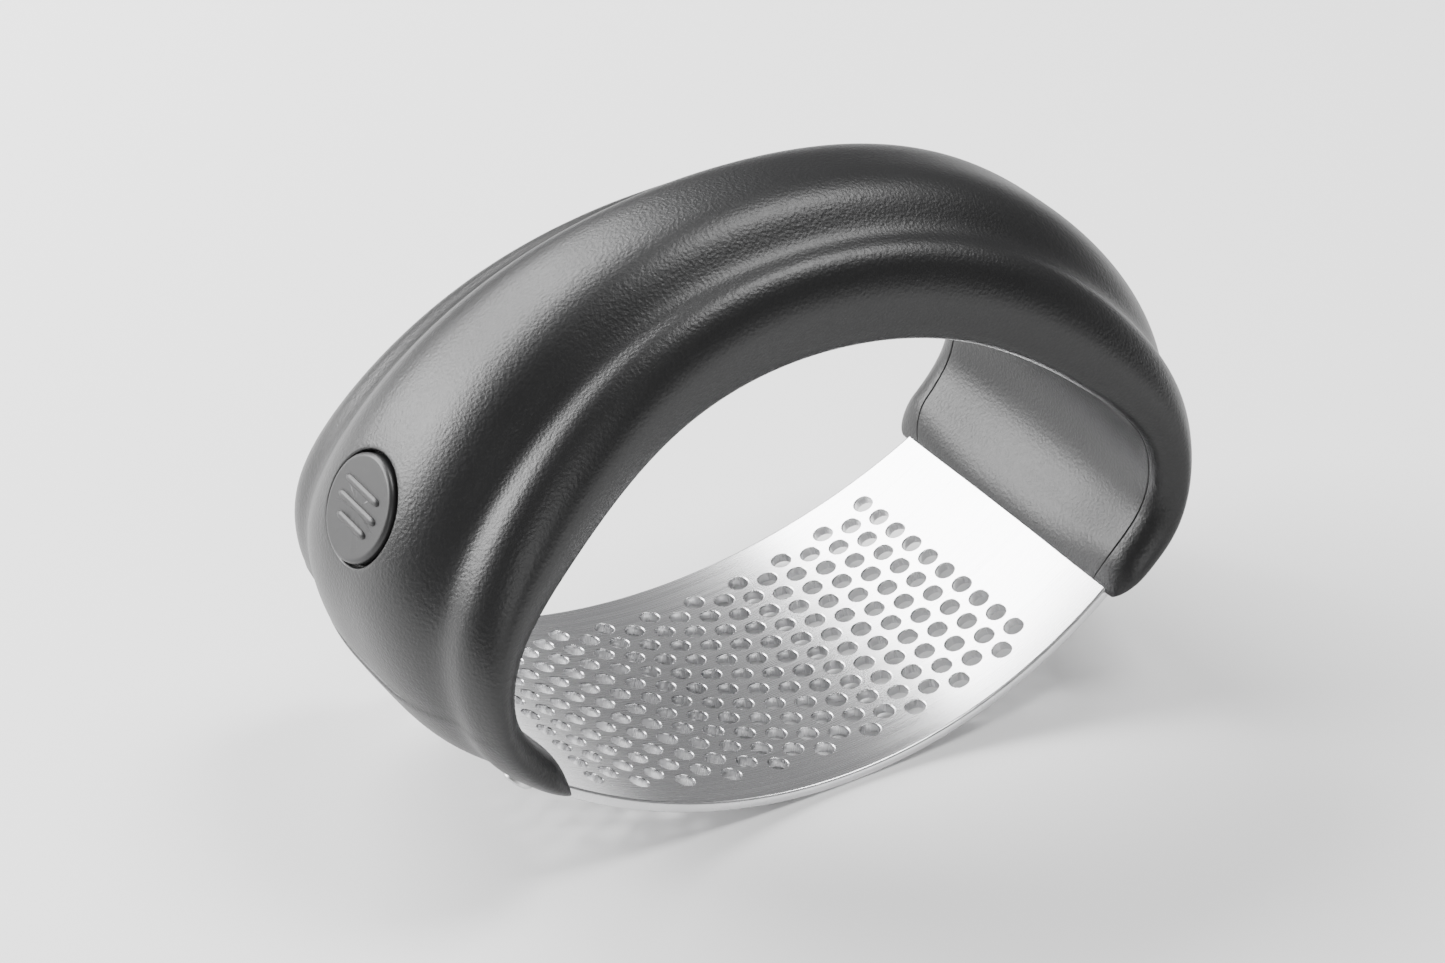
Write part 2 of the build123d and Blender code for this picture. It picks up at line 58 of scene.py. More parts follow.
# Plate
PLATE_RADIUS = 77 * MM
PLATE_THICKNESS = 1.5 * MM
PLATE_HALF_SPAN = 42 * MM
PLATE_HALF_WIDTH = plate_high.y
PLATE_END_HALF_WIDTH = 23.5 * MM
SHOULDER_SPAN = 44 * MM
HOLE_RADIUS = 1.375 * MM
HOLE_RIM = 0.16 * MM
HOLE_COLUMNS = 20
HOLE_ROWS = 10
COLUMN_PITCH = 3.75 * MM
ROW_PITCH = 4.1 * MM
FIELD_SHIFT = -2.2 * MM
PLATE_TOP_RADIUS = PLATE_RADIUS - PLATE_THICKNESS
TAB_END = 54 * MM
TAB_WINDOW = (51.3 * MM, 53.1 * MM)
EDGE_ROUND = 0.28 * MM
EDGE_SUPPORT = 0.12 * MM
RIM_SUPPORT = 0.06 * MM
WELD = 0.002 * MM

# Mesh of the plate: a hole tile has TILE_SIDE steps on each side, and the rows count those steps
TILE_SIDE = 8
ROW_STEP = ROW_PITCH / TILE_SIDE
FIELD_HALF_ROWS = 42
TAB_HALF_ROWS = 29
TAB_WINDOW_ROWS = 7
EDGE_ROWS = 4
STAGGER = 0.25  # of the row pitch
STAGGER_ROWS = 2

# Handle
ARCH_THICKNESS = 18.7 * MM
ARCH_HALF_DEPTH = 17 * MM
TIP_ABOVE_PLATE = 3.0 * MM
TIP_BELOW_PLATE = 2.8 * MM
RIM = 3.2 * MM
WALL = 1.9 * MM
LINER = 1.6 * MM
SEAM = 0.13 * MM
SEAM_ROUND = 0.14 * MM
TIP_START = 0.9  # fractions of half the arch, from the top to a foot
ROUND_START = 0.945
ROUND_END = 1.0
ARCH_STEPS = 190
SECTION_STEPS = 64
LINER_COLUMNS = 56

# Slit that drains the foot
SLIT_HEIGHT = 24 * MM
SLIT_LENGTH = 19 * MM
SLIT_WIDTH = 1.0 * MM
SLIT_CLOSED = 0.03 * MM
SLIT_DEPTH = 1.7 * MM
SLIT_REACH = 0.75 * MM
# share of the opening, distance beyond it, and depth of each row of one side
SLIT_HALF_ROWS = [
    (1.0, 0.5 * MM, 0),
    (1.0, 0.12 * MM, 0),
    (1.0, 0.0, 0.05 * MM),
    (0.9, 0.0, 0.2 * MM),
    (0.8, 0.0, SLIT_DEPTH),
]

# Release button. Depths are measured inwards from its face.
BUTTON_HEIGHT = 48 * MM
BUTTON_RADIUS = 7 * MM
BUTTON_GAP = 0.35 * MM
BUTTON_PROUD = 0.05 * MM
CAP_DEPTH = 2.6 * MM
CAP_ROUND = 0.6 * MM
CAP_SUPPORT = 0.1 * MM
FLANGE_RADIUS = 8 * MM
FLANGE_DEPTH = 3.6 * MM
STEM_RADIUS = 2.2 * MM
STEM_DEPTH = 10 * MM
LATHE_STEPS = 96
RIB_SINK = 0.3 * MM
RIB_PITCH = 2.3 * MM
RIB_WIDTH = 1.05 * MM
RIB_HEIGHT = 0.42 * MM
RIB_LENGTHS = (8.4 * MM, 9.4 * MM, 7.2 * MM)
RIB_SHIFTS = (-0.3 * MM, 0.0, 0.2 * MM)
RIB_STATIONS = 30
RIB_ARC = 12

# Bore of the button in the shell
BORE_RADIUS = BUTTON_RADIUS + BUTTON_GAP
BORE_MARGIN = 2.2 * MM
FILLET = 0.4 * MM
FILLET_STEPS = 6
PATCH_RINGS = 7
SMALL_STEP = 0.0005  # along the mesh's own parameters, for slopes


# ---------------------------------------------------------------- curves


def spline(points, start, end):
    """Cubic spline through points with given end directions, as a function of 0 to 1."""
    points = np.array(points, float)
    steps = np.linalg.norm(np.diff(points, axis=0), axis=1)
    knots = np.concatenate([[0.0], np.cumsum(steps)])
    count = len(points)
    matrix = np.zeros((count, count))
    right = np.zeros((count, points.shape[1]))
    matrix[0, 0] = matrix[-1, -1] = 1.0
    right[0] = start
    right[-1] = end
    for i in range(1, count - 1):
        before, after = steps[i - 1], steps[i]
        matrix[i, i - 1] = after
        matrix[i, i] = 2 * (before + after)
        matrix[i, i + 1] = before
        rise_before = (points[i] - points[i - 1]) / before
        rise_after = (points[i + 1] - points[i]) / after
        right[i] = 3 * (rise_before * after + rise_after * before)
    slopes = np.linalg.solve(matrix, right)

    def at(t):
        s = np.clip(np.asarray(t, float), 0, 1) * knots[-1]
        i = np.clip(np.searchsorted(knots, s, side="right") - 1, 0, count - 2)
        step = steps[i]
        w = ((s - knots[i]) / step)[..., None]
        step = step[..., None]
        return (
            (2 * w**3 - 3 * w**2 + 1) * points[i]
            + (w**3 - 2 * w**2 + w) * step * slopes[i]
            + (-2 * w**3 + 3 * w**2) * points[i + 1]
            + (w**3 - w**2) * step * slopes[i + 1]
        )

    return at


def smooth(value):
    value = min(max(value, 0.0), 1.0)
    return value * value * (3 - 2 * value)


def arc_point(x, radius):
    return (x, PLATE_RADIUS - math.sqrt(radius**2 - x**2))


tip_angle = math.asin(PLATE_HALF_SPAN / PLATE_RADIUS)
tip_direction = (-math.cos(tip_angle), -math.sin(tip_angle))
outer_line = spline(
    [
        (0, HEIGHT),
        (29 * MM, HEIGHT - 5.4 * MM),
        (51.5 * MM, 56.5 * MM),
        (HALF_LENGTH, 39.5 * MM),
        (58.4 * MM, 27.5 * MM),
        (53.6 * MM, 18.0 * MM),
        arc_point(PLATE_HALF_SPAN + 1.2 * MM, PLATE_RADIUS + TIP_BELOW_PLATE),
    ],
    (1, 0),
    tip_direction,
)
inner_line = spline(
    [
        (0, HEIGHT - ARCH_THICKNESS),
        (21 * MM, 56.1 * MM),
        (39.6 * MM, 44.8 * MM),
        (48.8 * MM, 33.0 * MM),
        (48.6 * MM, 26.0 * MM),
        (45.6 * MM, 21.3 * MM),
        arc_point(PLATE_HALF_SPAN - 0.6 * MM, PLATE_TOP_RADIUS - TIP_ABOVE_PLATE),
    ],
    (1, 0),
    tip_direction,
)


def station(t):
    """Start of a section at the inner face, its direction out to the crown, and its thickness."""
    side = -1 if t < 0 else 1
    low = inner_line(abs(t))
    high = outer_line(abs(t))
    across = high - low
    thickness = float(np.hypot(*across))
    start = np.array([side * low[0], low[1]])
    direction = np.array([side * across[0], across[1]]) / thickness
    return start, direction, thickness


def half_depth(t):
    return ARCH_HALF_DEPTH + (HALF_WIDTH - ARCH_HALF_DEPTH) * smooth(abs(t) / TIP_START)


def dish(t):
    """How far the inner face dips at the middle of its width."""
    return (0.3 + 0.9 * smooth((abs(t) - 0.35) / 0.3)) * MM


def section(t):
    """Right half of the handle's outline at t, from the crown to the middle of the inner face."""
    thickness = station(t)[2]
    depth = half_depth(t)
    foot = smooth((abs(t) - 0.1) / 0.6)
    half = [
        (0, 1.0),
        (0.25, 0.985),
        (0.42, 0.93 - 0.01 * foot),
        (0.56, 0.82 - 0.02 * foot),
        (0.69, 0.73 - 0.06 * foot),
        (0.81, 0.70 - 0.055 * foot),
        (0.93, 0.60 - 0.055 * foot),
        (1.0, 0.39 - 0.03 * foot),
        (0.975, 0.19),
        (0.90, 0.02),
        (0.74, 0.0),
        (0.40, 0.8 * dish(t) / thickness),
        (0, dish(t) / thickness),
    ]
    return spline([(u * depth, v * thickness) for u, v in half], (1, 0), (-1, 0))


def tip_factors(t):
    """How much the section is drawn in at the rounded end of a foot: across it, and through it."""
    if abs(t) <= ROUND_START:
        return 1.0, 1.0
    along = min((abs(t) - ROUND_START) / (ROUND_END - ROUND_START), 0.9998)
    shrink = math.sqrt(max(1 - along**2, 0.0))
    return 1 - 0.10 * (1 - shrink), shrink


def in_space(t, points):
    """Puts section points (depth, height above the inner face) at station t."""
    start, direction, thickness = station(t)
    narrow, shrink = tip_factors(t)
    placed = []
    for u, v in points:
        v = thickness / 2 + (v - thickness / 2) * shrink
        placed.append((start[0] + direction[0] * v, u * narrow, start[1] + direction[1] * v))
    return placed


# ---------------------------------------------------------------- meshes


def mesh_object(name, vertices, faces):
    mesh = bpy.data.meshes.new(name)
    mesh.from_pydata([tuple(v) for v in vertices], [], faces)
    built = bmesh.new()
    built.from_mesh(mesh)
    bmesh.ops.recalc_face_normals(built, faces=built.faces)
    built.to_mesh(mesh)
    built.free()
    mesh.polygons.foreach_set("use_smooth", [True] * len(mesh.polygons))
    obj = bpy.data.objects.new(name, mesh)
    scene.collection.objects.link(obj)
    return obj


class Surface:
    """The handle's outer skin, with t along the arch and w round the section, 0 at the crown."""

    def __init__(self):
        self.kept = {}

    def outline(self, t):
        key = round(t, 9)
        if key not in self.kept:
            line = section(t)
            reach = half_depth(t) - RIM
            ws = np.linspace(0.6, 1.0, 200)
            past_edge = line(ws)[:, 0]
            seam = float(np.interp(-reach, -past_edge, ws))
            self.kept[key] = (line, seam)
        return self.kept[key]

    def seam(self, t):
        return self.outline(t)[1]

    def flat(self, t, w):
        """Point of the section at w in its own plane: depth, and height above the inner face."""
        u, v = self.outline(t)[0](abs(w))
        return (math.copysign(u, w) if w else 0.0, float(v))

    def flats(self, t, ws):
        points = self.outline(t)[0](np.abs(ws))
        points[:, 0] *= np.sign(ws)
        return points

    def point(self, t, share):
        """Point of the skin at a share of the way from crown to seam. Its sign tells the side."""
        return Vector(in_space(t, [self.flat(t, share * self.seam(t))])[0])


skin = Surface()


def hollowed(t, flats, wall, side):
    """Points of a section moved in towards its middle by a wall."""
    thickness = station(t)[2]
    depth = half_depth(t)
    middle = thickness / 2
    through = max(1 - 2 * wall / thickness, 0.2)
    across = 1 - side / depth
    return [(u * across, middle + (v - middle) * through) for u, v in flats]


def rows_along_arch():
    """Stations of the mesh: even along the handle, close together where the feet round off."""
    rows = list(np.linspace(-ROUND_START, ROUND_START, ARCH_STEPS + 1))
    tips = [ROUND_START + (1 - ROUND_START) * math.sin(math.radians(a)) for a in range(6, 89, 6)]
    return [-t for t in reversed(tips)] + rows + tips


def outer_height_station(height):
    """Where along the left half of the arch the crown passes a height, from 0 to 1."""
    low, high = 0.3, 0.95
    for _ in range(30):
        middle = (low + high) / 2
        if outer_line(middle)[1] > height:
            low = middle
        else:
            high = middle
    return middle


def outer_speed(t):
    """Length of the crown line for each unit of t."""
    rise = outer_line(t + 2 * SMALL_STEP) - outer_line(t - 2 * SMALL_STEP)
    return float(np.hypot(*rise)) / (4 * SMALL_STEP)


class SlitRow:
    """One row of the mesh at the draining slit: shifted along the arch and sunk by the slit's own shape."""

    def __init__(self, share, beyond, depth):
        self.share = share
        self.beyond = beyond
        self.depth = depth

    def place(self, u):
        """Shift along the arch in metres, and depth, at a distance u from the middle of the crown."""
        openness = max(1 - (2 * u / SLIT_LENGTH) ** 2, 0.0)
        opening = max(openness * SLIT_WIDTH / 2, SLIT_CLOSED)
        shift = math.copysign(abs(self.share) * opening + self.beyond, self.share)
        return shift, self.depth * min(openness * 6, 1.0)


slit_t = outer_height_station(SLIT_HEIGHT)
slit_speed = outer_speed(slit_t)
slit_rows = [SlitRow(-a, b, c) for a, b, c in SLIT_HALF_ROWS]
slit_rows += [SlitRow(a, b, c) for a, b, c in reversed(SLIT_HALF_ROWS)]
slit_clear = SLIT_REACH / slit_speed


def shell_rows():
    """Every row of the outer shell: a number for an ordinary one, a SlitRow for one at the slit."""
    rows = []
    placed = False
    for t in rows_along_arch():
        if abs(t + slit_t) < slit_clear:
            if not placed:
                rows += slit_rows
                placed = True
        else:
            rows.append(t)
    return rows


def shell_columns():
    """Shares of the way from the crown to the seam, closer together near the seam."""
    half = [math.sin(math.pi / 2 * i / SECTION_STEPS) for i in range(SECTION_STEPS + 1)]
    half = [0.55 * h + 0.45 * i / SECTION_STEPS for i, h in enumerate(half)]
    return [-s for s in reversed(half[1:])] + half


def skin_row(row, columns):
    """Outer points and inner points of one row of the outer shell."""
    base = -slit_t if isinstance(row, SlitRow) else row
    flats = [tuple(p) for p in skin.flats(base, np.array(columns) * skin.seam(base))]
    if not isinstance(row, SlitRow):
        outer = in_space(base, flats)
        return outer, in_space(base, hollowed(base, flats, WALL, RIM))
    outer = []
    shifts = []
    for u, v in flats:
        crown = v > station(base)[2] / 2
        shift, depth = row.place(u) if crown else (row.place(SLIT_LENGTH)[0], 0.0)
        shifts.append(shift)
        outer.append((u, v - depth))
    placed = in_space(base, outer)
    behind = in_space(base - 2 * SMALL_STEP, flats)
    ahead = in_space(base + 2 * SMALL_STEP, flats)
    along = [(Vector(b) - Vector(a)) / (4 * SMALL_STEP) / slit_speed for a, b in zip(behind, ahead)]
    moved = [tuple(Vector(point) + way * shift) for point, way, shift in zip(placed, along, shifts)]
    inner = in_space(base, hollowed(base, flats, WALL, RIM))
    flat_shift = row.place(SLIT_LENGTH)[0]
    inner = [tuple(Vector(point) + way * flat_shift) for point, way in zip(inner, along)]
    return moved, inner


class ButtonBore:
    """Round opening in both skins of the outer shell, with a softened edge."""

    def __init__(self, origin, normal):
        self.origin = origin
        self.normal = normal
        self.side = Vector((0, -1, 0))
        self.up = normal.cross(self.side)

    def across(self, point):
        offset = point - self.origin
        return offset.dot(self.side), offset.dot(self.up)

    def edge_point(self, surface, start, angle, radius):
        """Mesh parameters of the surface's point at an angle and radius round the button's axis."""
        t, share = start
        target = (radius * math.cos(angle), radius * math.sin(angle))
        for _ in range(5):
            x, y = self.across(surface(t, share))
            xt, yt = self.across(surface(t + SMALL_STEP, share))
            xs, ys = self.across(surface(t, share + SMALL_STEP))
            a, b = (xt - x) / SMALL_STEP, (xs - x) / SMALL_STEP
            c, d = (yt - y) / SMALL_STEP, (ys - y) / SMALL_STEP
            dx, dy = target[0] - x, target[1] - y
            scale = a * d - b * c
            t += (d * dx - b * dy) / scale
            share += (a * dy - c * dx) / scale
        return t, share


def outer_surface(t, share):
    return skin.point(t, share)


def inner_surface(t, share):
    flat = skin.flat(t, share * skin.seam(t))
    return Vector(in_space(t, hollowed(t, [flat], WALL, RIM))[0])


button_t = outer_height_station(BUTTON_HEIGHT)
button_x, button_z = outer_line(button_t)
button_along = outer_line(button_t + SMALL_STEP) - outer_line(button_t - SMALL_STEP)
button_point = Vector((-button_x, 0, button_z))
button_normal = Vector((-abs(button_along[1]), 0, abs(button_along[0]))).normalized()
bore = ButtonBore(button_point, button_normal)


def outer_shell():
    """Outer shell of the handle as one closed mesh: skin, seams, inside, button bore and slit."""
    rows = shell_rows()
    columns = shell_columns()
    vertices = []
    outer, inner, lips = [], [], []

    def place(points):
        first = len(vertices)
        vertices.extend(Vector(p) for p in points)
        return list(range(first, len(vertices)))

    for row in rows:
        skin_points, inside_points = skin_row(row, columns)
        outer.append(place(skin_points))
        inner.append(place(inside_points))
        left = seam_lip(skin_points[0], skin_points[1], inside_points[0])
        right = seam_lip(skin_points[-1], skin_points[-2], inside_points[-1])
        lips.append((place(left), place(right)))

    # cells that the button's bore opens
    reach = BORE_RADIUS + BORE_MARGIN
    inside_rows = []
    for i, row in enumerate(rows):
        if isinstance(row, SlitRow) or row > 0:
            continue
        x, y = bore.across(Vector(vertices[outer[i][len(columns) // 2]]))
        if abs(y) < reach:
            inside_rows.append(i)
    first_row, last_row = inside_rows[0], inside_rows[-1]
    middle_row = outer[(first_row + last_row) // 2]
    inside_columns = [
        j for j, k in enumerate(middle_row) if abs(vertices[k].y) < reach and abs(columns[j]) < 0.7
    ]
    first_column, last_column = inside_columns[0], inside_columns[-1]
    frame_cells = [(first_row, j) for j in range(first_column, last_column)]
    frame_cells += [(i, last_column) for i in range(first_row, last_row)]
    frame_cells += [(last_row, j) for j in range(last_column, first_column, -1)]
    frame_cells += [(i, first_column) for i in range(last_row, first_row, -1)]

    faces = []
    for i in range(len(rows) - 1):
        for j in range(len(columns) - 1):
            if first_row <= i < last_row and first_column <= j < last_column:
                continue
            faces.append((outer[i][j], outer[i][j + 1], outer[i + 1][j + 1], outer[i + 1][j]))
            faces.append((inner[i][j], inner[i + 1][j], inner[i + 1][j + 1], inner[i][j + 1]))
        for side, at in ((0, 0), (1, -1)):
            near = [outer[i][at]] + lips[i][side] + [inner[i][at]]
            far = [outer[i + 1][at]] + lips[i + 1][side] + [inner[i + 1][at]]
            faces += [(near[k], near[k + 1], far[k + 1], far[k]) for k in range(len(near) - 1)]
    for end in (0, -1):
        for j in range(len(columns) - 1):
            faces.append((outer[end][j], outer[end][j + 1], inner[end][j + 1], inner[end][j]))
        for side, at in ((0, 0), (1, -1)):
            faces.append([outer[end][at]] + lips[end][side] + [inner[end][at]])

    # bore: rings on the outer skin, a rounded edge, then the wall down to the inner skin
    loops = [[outer[i][j] for i, j in frame_cells]]
    starts = [(rows[i], columns[j]) for i, j in frame_cells]
    angles = []
    for t, share in starts:
        x, y = bore.across(outer_surface(t, share))
        angles.append(math.atan2(y, x))
    for surface, radius in ((outer_surface, BORE_RADIUS + FILLET), (inner_surface, BORE_RADIUS)):
        ends = [bore.edge_point(surface, s, a, radius) for s, a in zip(starts, angles)]
        rings = []
        for k in range(1, PATCH_RINGS + 1):
            share = k / PATCH_RINGS
            params = [
                (s[0] + (e[0] - s[0]) * share, s[1] + (e[1] - s[1]) * share)
                for s, e in zip(starts, ends)
            ]
            rings.append(place([surface(*p) for p in params]))
        if surface is outer_surface:
            loops += rings
            rim = [vertices[k] for k in rings[-1]]
            for k in range(1, FILLET_STEPS + 1):
                turn = math.pi / 2 * k / FILLET_STEPS
                inset, down = FILLET * math.sin(turn), FILLET * (1 - math.cos(turn))
                points = []
                for point, angle in zip(rim, angles):
                    outwards = bore.side * math.cos(angle) + bore.up * math.sin(angle)
                    points.append(point - outwards * inset - bore.normal * down)
                loops.append(place(points))
        else:
            loops += list(reversed(rings))
    loops.append([inner[i][j] for i, j in frame_cells])
    count = len(frame_cells)
    for near, far in zip(loops, loops[1:]):
        faces += [(near[k], near[(k + 1) % count], far[(k + 1) % count], far[k]) for k in range(count)]
    return mesh_object("handle_outer_skin", vertices, faces)


def seam_lip(edge, neighbour, inside):
    """Rounded corner of the shell at the seam, and a short wall into the handle."""
    edge, inside = Vector(edge), Vector(inside)
    outwards = (Vector(neighbour) - edge).normalized()
    sideways = Vector((0, 1 if edge.y < 0 else -1, 0))
    down = (inside - edge) - sideways * (inside - edge).dot(sideways)
    down = down.normalized() if down.length > 1e-6 else Vector((0, 0, 0))
    corner = edge - outwards * SEAM_ROUND
    reach = min((inside - edge).length * 0.5, LINER)
    return [
        corner * 0.3 + edge * 0.7 + down * SEAM_ROUND * 0.3,
        corner + down * SEAM_ROUND,
        corner + down * reach,
    ]


def inner_shell():
    """Strip that closes the handle's inner side from foot to foot, with rounded edges at the seam."""
    rows = rows_along_arch()
    shares = [-math.cos(math.pi * i / LINER_COLUMNS) for i in range(LINER_COLUMNS + 1)]
    vertices = []
    rings = []
    for t in rows:
        seam = skin.seam(t)
        width = skin.flat(t, seam)[0] - SEAM
        line = skin.outline(t)[0]
        ws = np.linspace(seam, 1.0, 80)
        across = line(ws)
        face = []
        for share in shares:
            u = share * width
            v = float(np.interp(-abs(u), -across[:, 0], across[:, 1]))
            face.append((u, v))
        edge = face[-1]
        rounded = [(-edge[0], edge[1] + SEAM_ROUND)]
        rounded += [(u * (1 - SEAM_ROUND / width), v) for u, v in face]
        rounded += [(edge[0], edge[1] + SEAM_ROUND)]
        back = [(u, v + LINER * 0.9) for u, v in reversed(rounded)]
        first = len(vertices)
        vertices += in_space(t, rounded + back)
        rings.append(list(range(first, len(vertices))))
    count = len(rings[0])
    faces = []
    for near, far in zip(rings, rings[1:]):
        faces += [(near[k], near[(k + 1) % count], far[(k + 1) % count], far[k]) for k in range(count)]
    for ring in (rings[0], rings[-1]):
        half = count // 2
        for k in range(half - 1):
            faces.append((ring[k], ring[k + 1], ring[count - 2 - k], ring[count - 1 - k]))
    return mesh_object("handle_inner_strip", vertices, faces)


# ---------------------------------------------------------------- plate


def arc_length(x):
    return PLATE_RADIUS * math.asin(x / PLATE_RADIUS)


def plate_edge(s):
    """Half width of the plate at a distance s along its arc."""
    x = PLATE_RADIUS * math.sin(s / PLATE_RADIUS)
    rise = PLATE_HALF_WIDTH - PLATE_END_HALF_WIDTH
    bow_radius = (SHOULDER_SPAN**2 + rise**2) / (2 * rise)
    return PLATE_HALF_WIDTH - bow_radius + math.sqrt(max(bow_radius**2 - x**2, 0.0))


def plate_lines():
    """Distances along the arc of the plate's mesh lines, and the first and last line of the hole field."""
    start = -HOLE_COLUMNS / 2 * COLUMN_PITCH + FIELD_SHIFT
    end = start + HOLE_COLUMNS * COLUMN_PITCH
    field = [start + i * COLUMN_PITCH / TILE_SIDE for i in range(HOLE_COLUMNS * TILE_SIDE + 1)]
    shoulder, tab = arc_length(SHOULDER_SPAN), arc_length(TAB_END)
    window = [-arc_length(x) for x in reversed(TAB_WINDOW)]
    before = [-tab] + window + [-shoulder]
    before += list(np.linspace(-shoulder, start, 9)[1:-1])
    after = list(np.linspace(end, shoulder, 13)[1:]) + [tab]
    return before + field + after, len(before), len(before) + len(field) - 1


# Levels of the border's points, from the upper face round a long edge to the underside
TOP, BOTTOM = 0, 5
EDGE_TURNS = {
    1: (math.pi / 4, True),
    2: (math.pi / 2, True),
    3: (math.pi / 2, False),
    4: (math.pi / 4, False),
}
EDGE_LEVELS = (TOP, *EDGE_TURNS, BOTTOM)


def solid_border():
    """The plate round its hole field, laid flat: both faces, rounded long edges, tabs, latch window."""
    lines, field_start, field_end = plate_lines()
    shoulder = arc_length(SHOULDER_SPAN)
    last = FIELD_HALF_ROWS + EDGE_ROWS
    vertices, index, faces = [], {}, []

    def y_of(i, row):
        reach = FIELD_HALF_ROWS * ROW_STEP
        if abs(row) <= FIELD_HALF_ROWS:
            return row * ROW_STEP
        edge = plate_edge(lines[i]) - EDGE_ROUND
        run = edge - EDGE_SUPPORT - reach
        stops = [reach + run * k / (EDGE_ROWS - 1) for k in range(EDGE_ROWS)] + [edge]
        return math.copysign(stops[abs(row) - FIELD_HALF_ROWS], row)

    def vertex(i, row, level):
        """Index of a point. The levels are TOP, the rounded long edge's four, and BOTTOM."""
        key = (i, row, level)
        if key not in index:
            y, z = y_of(i, row), PLATE_THICKNESS if level == TOP else 0.0
            if level in EDGE_TURNS:
                turn, upper = EDGE_TURNS[level]
                drop = EDGE_ROUND * (1 - math.cos(turn))
                y += math.copysign(EDGE_ROUND * math.sin(turn), row)
                z = PLATE_THICKNESS - drop if upper else drop
            index[key] = len(vertices)
            vertices.append((lines[i], y, z))
        return index[key]

    def face(corners):
        faces.append([vertex(*corner) for corner in corners])

    def column_of(i):
        return (i - field_start) // TILE_SIDE if field_start <= i < field_end else None

    def solid(i, row):
        """True where the cell from line i to i + 1, and from row to row + 1, is sheet."""
        if not (0 <= i < len(lines) - 1 and -last <= row < last):
            return False
        middle = (lines[i] + lines[i + 1]) / 2
        if abs(middle) <= shoulder:
            return True
        window = -arc_length(TAB_WINDOW[1]) < middle < -arc_length(TAB_WINDOW[0])
        in_window = window and -TAB_WINDOW_ROWS <= row < TAB_WINDOW_ROWS
        return -TAB_HALF_ROWS <= row < TAB_HALF_ROWS and not in_window

    def tiled(i, row):
        column = column_of(i)
        if column is None:
            return False
        move = STAGGER_ROWS if column % 2 else -STAGGER_ROWS
        half = HOLE_ROWS * TILE_SIDE // 2
        return move - half <= row < move + half

    for i in range(len(lines) - 1):
        for row in range(-last, last):
            if not solid(i, row) or tiled(i, row):
                continue
            for level in (TOP, BOTTOM):
                face([(i, row, level), (i + 1, row, level), (i + 1, row + 1, level), (i, row + 1, level)])
            if row in (-last, last - 1):
                at = -last if row == -last else last
                for a, b in zip(EDGE_LEVELS, EDGE_LEVELS[1:]):
                    face([(i, at, a), (i + 1, at, a), (i + 1, at, b), (i, at, b)])
            for neighbour, edge in ((row - 1, row), (row + 1, row + 1)):
                if abs(edge) != last and not solid(i, neighbour):
                    face([(i, edge, TOP), (i + 1, edge, TOP), (i + 1, edge, BOTTOM), (i, edge, BOTTOM)])
            for neighbour, line in ((i - 1, i), (i + 1, i + 1)):
                if not solid(neighbour, row):
                    upper = [(line, row, TOP), (line, row + 1, TOP)]
                    face(upper + [(line, row + 1, BOTTOM), (line, row, BOTTOM)])
        for line, neighbour in ((i, i - 1), (i + 1, i + 1)):
            for at, inside in ((-last, -last), (last, last - 1)):
                if solid(i, inside) and not solid(neighbour, inside):
                    face([(line, at, level) for level in EDGE_LEVELS])
    return mesh_object("plate_border", vertices, faces)


def hole_tile():
    """One pitch of the sheet with its hole: both faces, a rolled rim on each, and the hole's wall."""
    outline = []
    for side in range(4):
        for k in range(TILE_SIDE):
            share = k / TILE_SIDE - 0.5
            corner = [(share, -0.5), (0.5, share), (-share, 0.5), (-0.5, -share)][side]
            outline.append((corner[0] * COLUMN_PITCH, corner[1] * ROW_PITCH))
    rings = [[(x, y, PLATE_THICKNESS) for x, y in outline]]
    angles = [math.atan2(y, x) for x, y in outline]
    steps = [(HOLE_RIM + RIM_SUPPORT, 0.0)]
    turns = (0, 0.5, 1.05, math.pi / 2)
    steps += [(HOLE_RIM * (1 - math.sin(a)), HOLE_RIM * (1 - math.cos(a))) for a in turns]
    for away, drop in steps:
        radius = HOLE_RADIUS + away
        rings.append([(radius * math.cos(a), radius * math.sin(a), PLATE_THICKNESS - drop) for a in angles])
    for away, drop in reversed(steps):
        radius = HOLE_RADIUS + away
        rings.append([(radius * math.cos(a), radius * math.sin(a), drop) for a in angles])
    rings.append([(x, y, 0.0) for x, y in outline])
    vertices = [p for ring in rings for p in ring]
    count = len(outline)
    faces = []
    for r in range(len(rings) - 1):
        for k in range(count):
            n = (k + 1) % count
            faces.append((r * count + k, r * count + n, (r + 1) * count + n, (r + 1) * count + k))
    return mesh_object("hole_tile", vertices, faces)


def math_node(tree, operation, *values):
    node = tree.nodes.new("ShaderNodeMath")
    node.operation = operation
    for socket, value in zip(node.inputs, values):
        if isinstance(value, (int, float)):
            socket.default_value = value
        else:
            tree.links.new(value, socket)
    return node.outputs[0]


def new_modifier_tree(name, sockets):
    tree = bpy.data.node_groups.new(name, "GeometryNodeTree")
    tree.interface.new_socket("Geometry", in_out="INPUT", socket_type="NodeSocketGeometry")
    for label, kind in sockets:
        tree.interface.new_socket(label, in_out="INPUT", socket_type=kind)
    tree.interface.new_socket("Geometry", in_out="OUTPUT", socket_type="NodeSocketGeometry")
    return tree, tree.nodes.new("NodeGroupInput"), tree.nodes.new("NodeGroupOutput")


